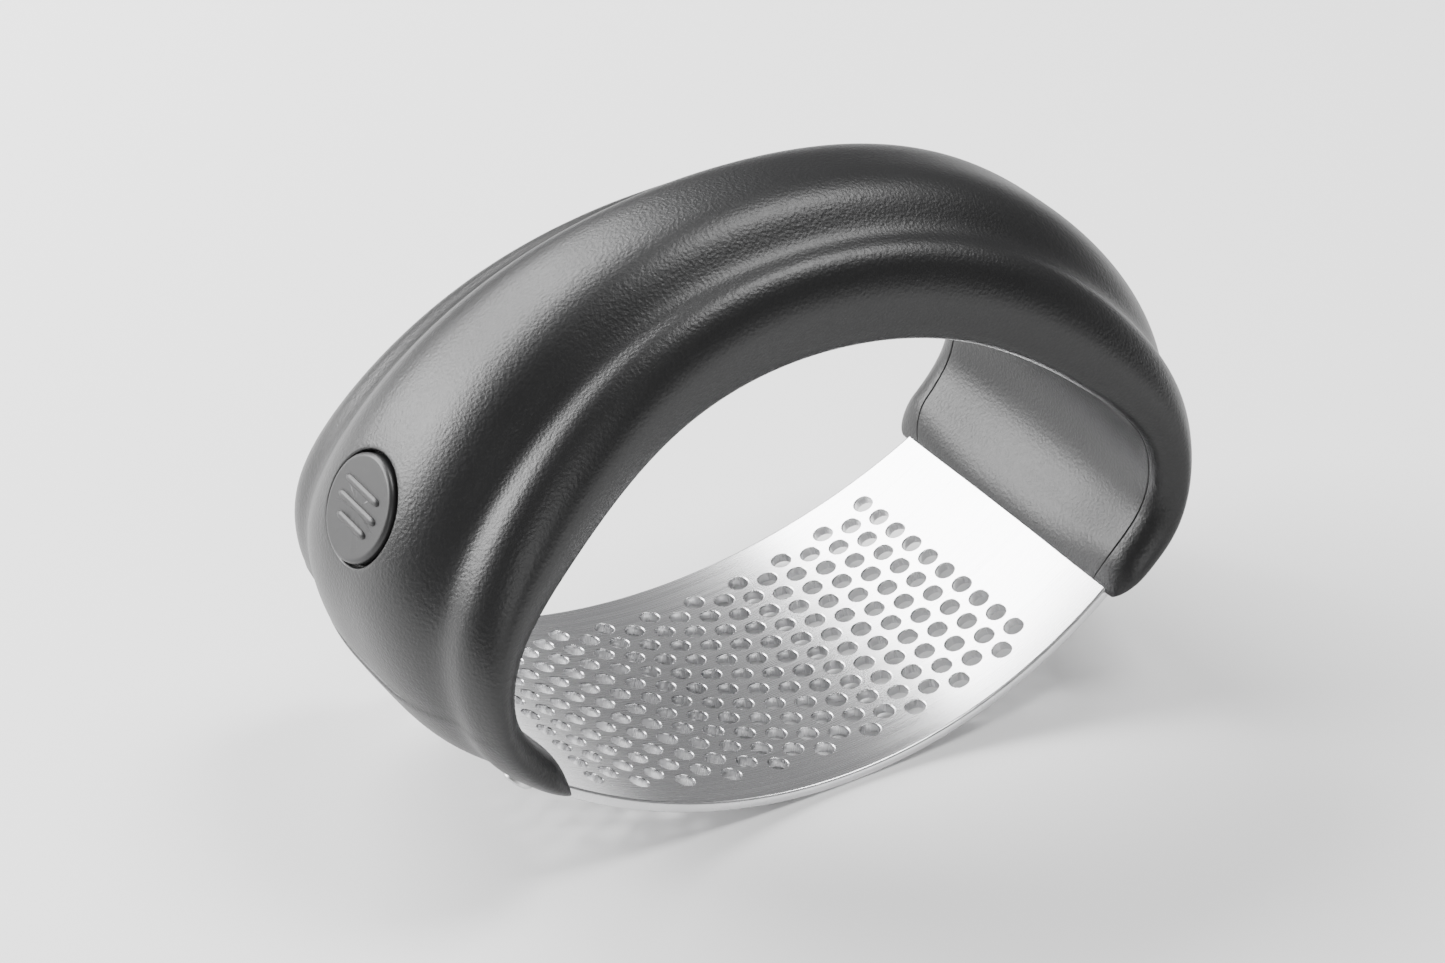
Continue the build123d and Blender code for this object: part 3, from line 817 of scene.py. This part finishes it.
def apply_tree(obj, tree, values, name):
    """Runs a node tree on an object and returns its result as a plain mesh object."""
    modifier = obj.modifiers.new("nodes", "NODES")
    modifier.node_group = tree
    for item in tree.interface.items_tree:
        if item.in_out == "INPUT" and item.name in values:
            modifier[item.identifier] = values[item.name]
    bpy.context.view_layer.update()
    evaluated = obj.evaluated_get(bpy.context.evaluated_depsgraph_get())
    mesh = bpy.data.meshes.new_from_object(evaluated)
    obj.modifiers.remove(modifier)
    built = bmesh.new()
    built.from_mesh(mesh)
    bmesh.ops.recalc_face_normals(built, faces=built.faces)
    built.to_mesh(mesh)
    built.free()
    mesh.name = name
    result = bpy.data.objects.new(name, mesh)
    scene.collection.objects.link(result)
    return result


def remove_object(obj):
    mesh = obj.data
    bpy.data.objects.remove(obj)
    bpy.data.meshes.remove(mesh)


def perforated_plate_tree():
    """Sets a hole tile at each place of the staggered field, joins the border, rolls the sheet."""
    sockets = [
        ("Tile", "NodeSocketObject"),
        ("Rows", "NodeSocketInt"),
        ("Columns", "NodeSocketInt"),
        ("Row Pitch", "NodeSocketFloat"),
        ("Column Pitch", "NodeSocketFloat"),
        ("Field Shift", "NodeSocketFloat"),
        ("Stagger", "NodeSocketFloat"),
        ("Radius", "NodeSocketFloat"),
        ("Weld", "NodeSocketFloat"),
        ("Material", "NodeSocketMaterial"),
    ]
    tree, start, end = new_modifier_tree("perforated_plate", sockets)
    given = start.outputs
    nodes = tree.nodes
    count = math_node(tree, "MULTIPLY", given["Rows"], given["Columns"])
    points = nodes.new("GeometryNodePoints")
    tree.links.new(count, points.inputs["Count"])
    index = nodes.new("GeometryNodeInputIndex").outputs[0]
    middle = math_node(tree, "ADD", index, 0.5)
    column = math_node(tree, "FLOOR", math_node(tree, "DIVIDE", middle, given["Rows"]))
    row = math_node(tree, "SUBTRACT", index, math_node(tree, "MULTIPLY", column, given["Rows"]))
    odd = math_node(tree, "MODULO", column, 2.0)
    side = math_node(tree, "SUBTRACT", math_node(tree, "MULTIPLY", odd, 2.0), 1.0)
    swing = math_node(tree, "MULTIPLY", side, given["Stagger"])

    def centred(number, total):
        last = math_node(tree, "SUBTRACT", total, 1.0)
        return math_node(tree, "SUBTRACT", number, math_node(tree, "MULTIPLY", last, 0.5))

    along = math_node(tree, "MULTIPLY", centred(column, given["Columns"]), given["Column Pitch"])
    along = math_node(tree, "ADD", along, given["Field Shift"])
    across = math_node(tree, "ADD", centred(row, given["Rows"]), swing)
    across = math_node(tree, "MULTIPLY", across, given["Row Pitch"])
    place = nodes.new("ShaderNodeCombineXYZ")
    tree.links.new(along, place.inputs["X"])
    tree.links.new(across, place.inputs["Y"])
    tree.links.new(place.outputs[0], points.inputs["Position"])
    tile = nodes.new("GeometryNodeObjectInfo")
    tree.links.new(given["Tile"], tile.inputs["Object"])
    spread = nodes.new("GeometryNodeInstanceOnPoints")
    tree.links.new(points.outputs[0], spread.inputs["Points"])
    tree.links.new(tile.outputs["Geometry"], spread.inputs["Instance"])
    real = nodes.new("GeometryNodeRealizeInstances")
    tree.links.new(spread.outputs[0], real.inputs[0])
    join = nodes.new("GeometryNodeJoinGeometry")
    tree.links.new(real.outputs[0], join.inputs[0])
    tree.links.new(given["Geometry"], join.inputs[0])
    weld = nodes.new("GeometryNodeMergeByDistance")
    tree.links.new(join.outputs[0], weld.inputs["Geometry"])
    tree.links.new(given["Weld"], weld.inputs["Distance"])

    flat = nodes.new("ShaderNodeSeparateXYZ")
    tree.links.new(nodes.new("GeometryNodeInputPosition").outputs[0], flat.inputs[0])
    turn = math_node(tree, "DIVIDE", flat.outputs["X"], given["Radius"])
    radius = math_node(tree, "SUBTRACT", given["Radius"], flat.outputs["Z"])
    bent = nodes.new("ShaderNodeCombineXYZ")
    tree.links.new(math_node(tree, "MULTIPLY", radius, math_node(tree, "SINE", turn)), bent.inputs["X"])
    tree.links.new(flat.outputs["Y"], bent.inputs["Y"])
    fall = math_node(tree, "MULTIPLY", radius, math_node(tree, "COSINE", turn))
    tree.links.new(math_node(tree, "SUBTRACT", given["Radius"], fall), bent.inputs["Z"])
    roll = nodes.new("GeometryNodeSetPosition")
    tree.links.new(weld.outputs[0], roll.inputs["Geometry"])
    tree.links.new(bent.outputs[0], roll.inputs["Position"])
    last = nodes.new("GeometryNodeRealizeInstances")
    tree.links.new(roll.outputs[0], last.inputs[0])
    finish = nodes.new("GeometryNodeSetMaterial")
    tree.links.new(last.outputs[0], finish.inputs["Geometry"])
    tree.links.new(given["Material"], finish.inputs["Material"])
    tree.links.new(finish.outputs[0], end.inputs[0])
    return tree


# ---------------------------------------------------------------- finishes


def new_group(name, inputs, outputs):
    group = bpy.data.node_groups.new(name, "ShaderNodeTree")
    for label, value in inputs:
        socket = group.interface.new_socket(label, in_out="INPUT", socket_type="NodeSocketFloat")
        socket.default_value = value
    for label, kind in outputs:
        group.interface.new_socket(label, in_out="OUTPUT", socket_type=kind)
    return group, group.nodes.new("NodeGroupInput"), group.nodes.new("NodeGroupOutput")


def noise(tree, vector, scale, detail, roughness=0.5):
    """Noise at a scale that is a number or another node's output."""
    node = tree.nodes.new("ShaderNodeTexNoise")
    tree.links.new(vector, node.inputs["Vector"])
    if isinstance(scale, (int, float)):
        node.inputs["Scale"].default_value = scale
    else:
        tree.links.new(scale, node.inputs["Scale"])
    node.inputs["Detail"].default_value = detail
    node.inputs["Roughness"].default_value = roughness
    return node.outputs["Fac"]


EFFECT_OUTPUTS = [
    ("Height", "NodeSocketFloat"),
    ("Roughness", "NodeSocketFloat"),
    ("Shade", "NodeSocketFloat"),
]


def moulded_grain_group():
    """Fine leathery grain of moulded plastic: height, roughness and a faint change of shade."""
    group, start, end = new_group(
        "moulded_grain",
        [("Grain Scale", 2400.0), ("Roughness", 0.42), ("Roughness Spread", 0.12)],
        EFFECT_OUTPUTS,
    )
    place = group.nodes.new("ShaderNodeTexCoord").outputs["Object"]
    coarse = noise(group, place, start.outputs["Grain Scale"], 3.0, 0.6)
    cells = group.nodes.new("ShaderNodeTexVoronoi")
    group.links.new(place, cells.inputs["Vector"])
    group.links.new(math_node(group, "MULTIPLY", start.outputs["Grain Scale"], 0.9), cells.inputs["Scale"])
    height = math_node(group, "ADD", coarse, math_node(group, "MULTIPLY", cells.outputs["Distance"], 0.5))
    group.links.new(height, end.inputs["Height"])
    cloud = noise(group, place, 90.0, 4.0)
    swing = math_node(group, "SUBTRACT", coarse, 0.5)
    swing = math_node(group, "MULTIPLY", swing, start.outputs["Roughness Spread"])
    drift = math_node(group, "MULTIPLY", math_node(group, "SUBTRACT", cloud, 0.5), 0.06)
    rough = math_node(group, "ADD", math_node(group, "ADD", start.outputs["Roughness"], swing), drift)
    group.links.new(rough, end.inputs["Roughness"])
    shade = math_node(group, "ADD", 0.85, math_node(group, "MULTIPLY", cloud, 0.3))
    group.links.new(shade, end.inputs["Shade"])
    return group


def brushed_lines_group():
    """Brushing along a sheet: long thin streaks as a height, a roughness and a shade."""
    group, start, end = new_group(
        "brushed_lines",
        [("Across Scale", 5200.0), ("Along Scale", 60.0), ("Roughness", 0.28), ("Roughness Spread", 0.16)],
        EFFECT_OUTPUTS,
    )
    place = group.nodes.new("ShaderNodeSeparateXYZ")
    group.links.new(group.nodes.new("ShaderNodeTexCoord").outputs["Object"], place.inputs[0])
    stretched = group.nodes.new("ShaderNodeCombineXYZ")
    for axis, scale in (("X", "Along Scale"), ("Y", "Across Scale"), ("Z", "Along Scale")):
        scaled = math_node(group, "MULTIPLY", place.outputs[axis], start.outputs[scale])
        group.links.new(scaled, stretched.inputs[axis])
    fine = math_node(group, "MULTIPLY", noise(group, stretched.outputs[0], 1.0, 2.0), 0.6)
    broad = math_node(group, "MULTIPLY", noise(group, stretched.outputs[0], 0.16, 2.0), 0.4)
    streak = math_node(group, "ADD", fine, broad)
    group.links.new(streak, end.inputs["Height"])
    swing = math_node(group, "SUBTRACT", streak, 0.5)
    swing = math_node(group, "MULTIPLY", swing, start.outputs["Roughness Spread"])
    rough = math_node(group, "ADD", start.outputs["Roughness"], swing)
    group.links.new(rough, end.inputs["Roughness"])
    shade = math_node(group, "ADD", 0.9, math_node(group, "MULTIPLY", streak, 0.2))
    group.links.new(shade, end.inputs["Shade"])
    return group


grain = moulded_grain_group()
brushing = brushed_lines_group()


def new_material(name, colour, metallic=0.0):
    material = bpy.data.materials.new(name)
    material.use_nodes = True
    tree = material.node_tree
    shader = tree.nodes["Principled BSDF"]
    shader.inputs["Base Color"].default_value = (*colour, 1)
    shader.inputs["Metallic"].default_value = metallic
    return material, tree, shader


def shaded_colour(tree, shade, colour):
    """The finish's colour made lighter and darker by a shade that changes over the surface."""
    tint = tree.nodes.new("ShaderNodeVectorMath")
    tint.operation = "SCALE"
    tint.inputs[0].default_value = colour
    tree.links.new(shade, tint.inputs["Scale"])
    return tint.outputs[0]


def finish_with(name, colour, metallic, group, values, depth):
    """Material whose shade, roughness and relief come from one of the surface effects."""
    material, tree, shader = new_material(name, colour, metallic)
    effect = tree.nodes.new("ShaderNodeGroup")
    effect.node_tree = group
    for label, value in values.items():
        effect.inputs[label].default_value = value
    tree.links.new(effect.outputs["Roughness"], shader.inputs["Roughness"])
    tree.links.new(shaded_colour(tree, effect.outputs["Shade"], colour), shader.inputs["Base Color"])
    bump = tree.nodes.new("ShaderNodeBump")
    bump.inputs["Strength"].default_value = 1.0
    bump.inputs["Distance"].default_value = depth
    tree.links.new(effect.outputs["Height"], bump.inputs["Height"])
    tree.links.new(bump.outputs["Normal"], shader.inputs["Normal"])
    return material


def grained_plastic(name, colour, roughness, scale, depth, spread=0.12):
    values = {"Grain Scale": scale, "Roughness": roughness, "Roughness Spread": spread}
    return finish_with(name, colour, 0.0, grain, values, depth)


def brushed_metal(name, colour, roughness, across, along, depth, spread=0.16):
    values = {
        "Across Scale": across,
        "Along Scale": along,
        "Roughness": roughness,
        "Roughness Spread": spread,
    }
    return finish_with(name, colour, 1.0, brushing, values, depth)


black_handle = grained_plastic("black_grained_plastic", (0.004, 0.004, 0.0043), 0.40, 2300.0, 0.00005)
black_liner = grained_plastic("black_grained_liner", (0.004, 0.004, 0.0043), 0.42, 2300.0, 0.00005)
satin_button = grained_plastic("satin_button_plastic", (0.014, 0.014, 0.0145), 0.42, 4200.0, 0.000006, 0.05)
inner_black = grained_plastic("inner_moulding_plastic", (0.01, 0.01, 0.011), 0.5, 3000.0, 0.00001, 0.05)
plate_steel = brushed_metal("brushed_plate_steel", (0.72, 0.72, 0.73), 0.27, 5200.0, 60.0, 0.000006)
latch_steel = brushed_metal("stamped_latch_steel", (0.6, 0.6, 0.61), 0.35, 3500.0, 200.0, 0.000004)
spring_steel = brushed_metal("drawn_spring_wire", (0.55, 0.55, 0.56), 0.25, 2500.0, 2500.0, 0.000002, 0.08)
screw_steel = brushed_metal("screw_steel", (0.6, 0.6, 0.6), 0.3, 3000.0, 3000.0, 0.000003, 0.1)


# ---------------------------------------------------------------- release button


def faces_between(rings):
    """Faces that join each closed ring of points to the next. A ring of one point is a pole."""
    faces = []
    for near, far in zip(rings, rings[1:]):
        count = max(len(near), len(far))
        for k in range(count):
            n = (k + 1) % count
            if len(near) == 1:
                faces.append((near[0], far[k], far[n]))
            elif len(far) == 1:
                faces.append((near[k], near[n], far[0]))
            else:
                faces.append((near[k], near[n], far[n], far[k]))
    return faces


def lathe(name, profile, origin, axis, steps):
    """Turns a profile of (radius, height along the axis) round an axis."""
    side = Vector((0, -1, 0))
    up = axis.cross(side)
    vertices, rings = [], []
    for radius, height in profile:
        first = len(vertices)
        turns = steps if radius > 0 else 1
        for k in range(turns):
            angle = 2 * math.pi * k / steps
            outwards = side * math.cos(angle) + up * math.sin(angle)
            vertices.append(origin + axis * height + outwards * radius)
        rings.append(list(range(first, first + turns)))
    return mesh_object(name, vertices, faces_between(rings))


def rounded_edge(radius, height, size, steps):
    """Profile points of an outside edge rounded by size, from the top face to the side."""
    turns = [math.pi / 2 * k / steps for k in range(steps + 1)]
    return [(radius - size * (1 - math.sin(a)), height - size * (1 - math.cos(a))) for a in turns]


def grip_rib(name, origin, side, up, out, length, width, height):
    """Low rounded ridge whose ends taper into the face it stands on."""
    vertices, rings = [], []
    for i in range(RIB_STATIONS + 1):
        along = -math.cos(math.pi * i / RIB_STATIONS)
        end = max(abs(along) * length / 2 - (length / 2 - width), 0.0) / width
        swell = math.sqrt(max(1 - end**2, 0.0))
        centre = origin + side * along * length / 2
        if swell < 0.02:
            vertices.append(centre - out * RIB_SINK)
            rings.append([len(vertices) - 1])
            continue
        ring = []
        for k in range(RIB_ARC + 1):
            angle = math.pi * k / RIB_ARC
            across = math.cos(angle) * width / 2 * swell
            rise = math.sin(angle) ** 0.8 * height * swell
            ring.append(centre + up * across + out * rise)
        ring.append(centre - up * width / 2 * swell - out * RIB_SINK)
        ring.append(centre + up * width / 2 * swell - out * RIB_SINK)
        first = len(vertices)
        vertices += ring
        rings.append(list(range(first, first + len(ring))))
    return mesh_object(name, vertices, faces_between(rings))


def join(obj, other):
    """Makes one closed mesh of two that overlap."""
    modifier = obj.modifiers.new("solid", "BOOLEAN")
    modifier.operation = "UNION"
    modifier.solver = "EXACT"
    modifier.object = other
    bpy.context.view_layer.update()
    mesh = bpy.data.meshes.new_from_object(obj.evaluated_get(bpy.context.evaluated_depsgraph_get()))
    obj.modifiers.remove(modifier)
    old = obj.data
    obj.data = mesh
    bpy.data.meshes.remove(old)
    remove_object(other)
    return obj


def release_button():
    """Round cap with three grip ribs, its flange and its stem."""
    origin = button_point + button_normal * BUTTON_PROUD
    profile = [(0, 0), (BUTTON_RADIUS - CAP_ROUND - CAP_SUPPORT, 0)]
    profile += rounded_edge(BUTTON_RADIUS, 0, CAP_ROUND, 6)
    profile += [(BUTTON_RADIUS, -CAP_DEPTH), (FLANGE_RADIUS, -CAP_DEPTH), (FLANGE_RADIUS, -FLANGE_DEPTH)]
    profile += [(STEM_RADIUS, -FLANGE_DEPTH), (STEM_RADIUS, -STEM_DEPTH), (0, -STEM_DEPTH)]
    button = lathe("release_button_cap", profile, origin, button_normal, LATHE_STEPS)
    for row, (length, shift) in enumerate(zip(RIB_LENGTHS, RIB_SHIFTS)):
        centre = origin + bore.up * (1 - row) * RIB_PITCH + bore.side * shift
        rib = grip_rib("grip_rib", centre, bore.side, bore.up, button_normal, length, RIB_WIDTH, RIB_HEIGHT)
        join(button, rib)
    return button


def sharp_creases(obj, angle):
    """Keeps the edges steeper than an angle crisp and the rest smooth."""
    obj.data.polygons.foreach_set("use_smooth", [True] * len(obj.data.polygons))
    obj.data.set_sharp_from_angle(angle=math.radians(angle))


# ---------------------------------------------------------------- the press

shell = outer_shell()
shell.data.materials.append(black_handle)
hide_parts("handle_outer_shell")
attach(shell, "press")

strip = inner_shell()
strip.data.materials.append(black_liner)
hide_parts("handle_inner_shell")
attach(strip, "press")

tile = hole_tile()
border = solid_border()
plate = apply_tree(
    border,
    perforated_plate_tree(),
    {
        "Tile": tile,
        "Rows": HOLE_ROWS,
        "Columns": HOLE_COLUMNS,
        "Row Pitch": ROW_PITCH,
        "Column Pitch": COLUMN_PITCH,
        "Field Shift": FIELD_SHIFT,
        "Stagger": STAGGER,
        "Radius": PLATE_RADIUS,
        "Weld": WELD,
        "Material": plate_steel,
    },
    "perforated_plate",
)
remove_object(tile)
remove_object(border)
sharp_creases(plate, 50)
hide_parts("rocker_plate")
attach(plate, "press")

button = release_button()
button.data.materials.clear()
button.data.materials.append(satin_button)
sharp_creases(button, 40)
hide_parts("release_button")
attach(button, "button")

for node, material in (
    ("button_guide", inner_black),
    ("button_spring", spring_steel),
    ("latch_spring", spring_steel),
    ("latch_bolt", latch_steel),
    ("guide_screws", screw_steel),
    ("foot_screws", screw_steel),
):
    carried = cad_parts[node]
    carried.data.materials.clear()
    carried.data.materials.append(material)

# ---------------------------------------------------------------- floor, light and camera

FLOOR_REACH = 4.0
corners = [(x * FLOOR_REACH, y * FLOOR_REACH, 0) for x, y in ((-1, -1), (1, -1), (1, 1), (-1, 1))]
floor_mesh = bpy.data.meshes.new("floor")
floor_mesh.from_pydata(corners, [], [(0, 1, 2, 3)])
floor = bpy.data.objects.new("floor", floor_mesh)
scene.collection.objects.link(floor)
pale, _, pale_shader = new_material("pale_floor", (0.9, 0.9, 0.9))
pale_shader.inputs["Roughness"].default_value = 0.9
pale_shader.inputs["Specular IOR Level"].default_value = 0.0
floor_mesh.materials.append(pale)

AIM = (0, 0, 0.03)
world = bpy.data.worlds.new("studio")
world.use_nodes = True
background = world.node_tree.nodes["Background"]
background.inputs["Color"].default_value = (0.95, 0.95, 0.96, 1)
background.inputs["Strength"].default_value = 0.3
scene.world = world


def soft_light(name, place, width, height, power):
    lamp = bpy.data.lights.new(name, "AREA")
    lamp.shape = "RECTANGLE"
    lamp.size, lamp.size_y = width, height
    lamp.energy = power
    light = bpy.data.objects.new(name, lamp)
    light.location = place
    light.rotation_mode = "QUATERNION"
    light.rotation_quaternion = (Vector(AIM) - Vector(place)).to_track_quat("-Z", "Y")
    scene.collection.objects.link(light)


soft_light("back_left_light", (-0.55, 0.55, 0.42), width=0.55, height=0.45, power=16)
soft_light("back_top_light", (-0.1, 0.62, 0.62), width=0.5, height=0.3, power=9)
soft_light("top_light", (0.33, -0.05, 0.75), width=0.35, height=0.35, power=6)
soft_light("front_fill", (-0.3, -0.8, 0.4), width=0.5, height=0.3, power=2)

AZIMUTH = math.radians(-32)
ELEVATION = math.radians(31.8)
SENSOR_WIDTH = 36  # millimetres, as the focal length
FOCAL_LENGTH = 95.917
DISTANCE = 527 * MM
SHIFT_RIGHT = 3.5 * MM
SHIFT_UP = -28 * MM
level = math.cos(ELEVATION)
back = Vector((math.sin(AZIMUTH) * level, -math.cos(AZIMUTH) * level, math.sin(ELEVATION)))
right = Vector((math.cos(AZIMUTH), math.sin(AZIMUTH), 0))
up = back.cross(right)
camera_data = bpy.data.cameras.new("camera")
camera_data.lens = FOCAL_LENGTH
camera_data.sensor_width = SENSOR_WIDTH
camera_data.clip_start = 0.01
camera = bpy.data.objects.new("camera", camera_data)
scene.collection.objects.link(camera)
camera.location = back * DISTANCE - right * SHIFT_RIGHT - up * SHIFT_UP
camera.rotation_mode = "QUATERNION"
camera.rotation_quaternion = Matrix((right, up, back)).transposed().to_quaternion()
scene.camera = camera
